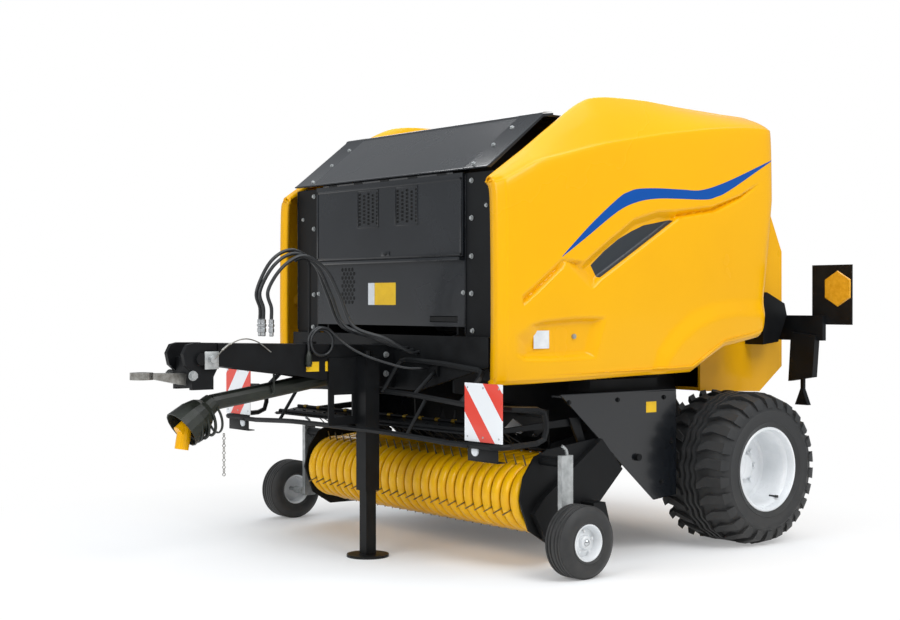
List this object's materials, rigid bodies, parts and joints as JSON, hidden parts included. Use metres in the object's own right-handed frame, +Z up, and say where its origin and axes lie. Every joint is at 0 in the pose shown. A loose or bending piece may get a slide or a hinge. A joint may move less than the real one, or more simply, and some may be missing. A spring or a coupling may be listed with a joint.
{
  "type": "round baler",
  "caption": "Fixed-chamber round baler on its drawbar jack: opening tailgate, gull-wing side shields, lifting pick-up with turning reel, gauge wheels, drive shaft and marker boards.",
  "frame": {"origin": "on the ground, at the centre of the machine's footprint", "axes": "+Z up; +X towards the machine's left side; -Y forwards, towards the tow eye"},
  "size_m": [2.849, 4.016, 2.506],
  "materials": {
    "yellow": "gloss yellow paint",
    "black": "satin black paint",
    "dark_steel": "dark grey satin",
    "light_grey": "light grey paint",
    "white_paint": "gloss white paint",
    "tyre": "matt black tread rubber",
    "steel": "worn bright steel",
    "chrome": "polished",
    "rubber": "satin black rubber",
    "guard_plastic": "matt black-green guard plastic",
    "board": "red and white reflective film"
  },
  "bodies": {
    "chassis": {"front_frame": "black", "front_rollers": "steel", "feed_floor": "dark_steel", "axle": "black", "hood": "black", "lower_front_panel": "black", "chain_oil_box": "dark_steel", "drawbar": "black", "drawbar_head": "black", "tow_eye": "dark_steel", "jack_sleeve": "black", "gearbox": "dark_steel", "drive_guard": "guard_plastic", "drive_yoke": "yellow", "guard_frame": "black", "hose_holder": "black", "hose_couplings": "chrome", "hose_1": "rubber", "hose_2": "rubber", "hose_3": "rubber", "cable": "rubber", "cable_coil": "rubber", "chamber_wall_left": "black", "chamber_wall_right": "black", "cutter_cover_left": "black", "cutter_cover_right": "black", "marker_board_left": "board", "marker_board_right": "board"},
    "front_door": {"front_door": "black"},
    "jack_leg": {"jack_leg": "black"},
    "feed_rotor": {"feed_rotor": "yellow"},
    "pickup": {"pickup_frame": "black", "stripper_bands": "yellow", "gauge_arm_left": "light_grey", "gauge_arm_right": "light_grey"},
    "pickup_reel": {"pickup_reel": "steel"},
    "wind_guard": {"wind_guard": "black"},
    "tailgate": {"tailgate_shell": "yellow", "tailgate_frame": "dark_steel", "rear_marker_left": "black", "rear_marker_right": "black", "wheel_chock_left": "rubber", "wheel_chock_right": "rubber"},
    "side_shield_left": {"side_shield_left": "yellow"},
    "rear_wheel_left": {"rear_tyre_left": "tyre", "rear_rim_left": "white_paint"},
    "gauge_wheel_left": {"gauge_tyre_left": "tyre", "gauge_rim_left": "white_paint"},
    "cylinder_barrel_left": {"cylinder_barrel_left": "black"},
    "cylinder_rod_left": {"cylinder_rod_left": "chrome"},
    "side_shield_right": {"side_shield_right": "yellow"},
    "rear_wheel_right": {"rear_tyre_right": "tyre", "rear_rim_right": "white_paint"},
    "gauge_wheel_right": {"gauge_tyre_right": "tyre", "gauge_rim_right": "white_paint"},
    "cylinder_barrel_right": {"cylinder_barrel_right": "black"},
    "cylinder_rod_right": {"cylinder_rod_right": "chrome"}
  },
  "joints": [
    {"name": "front_door_hinge", "type": "hinge", "parent": "chassis", "child": "front_door", "pos_m": [0, -0.452, 2.064], "axis": [-1, 0, 0], "range_deg": [0, 100]},
    {"name": "jack_slide", "type": "slide", "parent": "chassis", "child": "jack_leg", "axis": [0, 0, 1], "range_m": [0, 0.34]},
    {"name": "feed_rotor_spin", "type": "hinge", "parent": "chassis", "child": "feed_rotor", "pos_m": [0, 0.372, 0.52], "axis": [1, 0, 0], "continuous": true},
    {"name": "pickup_lift", "type": "hinge", "parent": "chassis", "child": "pickup", "pos_m": [0, 0.472, 0.62], "axis": [-1, 0, 0], "range_deg": [0, 8]},
    {"name": "pickup_reel_spin", "type": "hinge", "parent": "pickup", "child": "pickup_reel", "pos_m": [0, -0.148, 0.36], "axis": [1, 0, 0], "continuous": true},
    {"name": "wind_guard_hinge", "type": "hinge", "parent": "pickup", "child": "wind_guard", "pos_m": [0, 0.072, 0.74], "axis": [-1, 0, 0], "range_deg": [-6, 0]},
    {"name": "tailgate_hinge", "type": "hinge", "parent": "chassis", "child": "tailgate", "pos_m": [0, 0.822, 2.33], "axis": [1, 0, 0], "range_deg": [0, 65]},
    {"name": "side_shield_left_hinge", "type": "hinge", "parent": "chassis", "child": "side_shield_left", "pos_m": [0.866, 0.272, 2.425], "axis": [0, -1, 0], "range_deg": [0, 75]},
    {"name": "rear_wheel_left_spin", "type": "hinge", "parent": "chassis", "child": "rear_wheel_left", "pos_m": [1.06, 1.29, 0.433], "axis": [1, 0, 0], "continuous": true},
    {"name": "gauge_wheel_left_spin", "type": "hinge", "parent": "pickup", "child": "gauge_wheel_left", "pos_m": [1.347, -0.228, 0.184], "axis": [1, 0, 0], "continuous": true},
    {"name": "cylinder_left_foot", "type": "hinge", "parent": "chassis", "child": "cylinder_barrel_left", "pos_m": [0.704, 0.672, 1.8], "axis": [1, 0, 0], "range_deg": [-2, 30]},
    {"name": "cylinder_left_stroke", "type": "slide", "parent": "cylinder_barrel_left", "child": "cylinder_rod_left", "axis": [0, 0.8779, 0.4789], "range_m": [-0.005, 0.37]},
    {"name": "side_shield_right_hinge", "type": "hinge", "parent": "chassis", "child": "side_shield_right", "pos_m": [-0.866, 0.272, 2.425], "axis": [0, 1, 0], "range_deg": [0, 75]},
    {"name": "rear_wheel_right_spin", "type": "hinge", "parent": "chassis", "child": "rear_wheel_right", "pos_m": [-1.06, 1.29, 0.433], "axis": [1, 0, 0], "continuous": true},
    {"name": "gauge_wheel_right_spin", "type": "hinge", "parent": "pickup", "child": "gauge_wheel_right", "pos_m": [-1.347, -0.228, 0.184], "axis": [1, 0, 0], "continuous": true},
    {"name": "cylinder_right_foot", "type": "hinge", "parent": "chassis", "child": "cylinder_barrel_right", "pos_m": [-0.704, 0.672, 1.8], "axis": [1, 0, 0], "range_deg": [-2, 30]},
    {"name": "cylinder_right_stroke", "type": "slide", "parent": "cylinder_barrel_right", "child": "cylinder_rod_right", "axis": [0, 0.8779, 0.4789], "range_m": [-0.005, 0.37]}
  ],
  "couplings": [
    {"joint": "cylinder_left_foot", "follows": "tailgate_hinge", "ratio": 0.422},
    {"joint": "cylinder_left_stroke", "follows": "tailgate_hinge", "m_per_rad": 0.316},
    {"joint": "cylinder_right_foot", "follows": "tailgate_hinge", "ratio": 0.422},
    {"joint": "cylinder_right_stroke", "follows": "tailgate_hinge", "m_per_rad": 0.316}
  ]
}
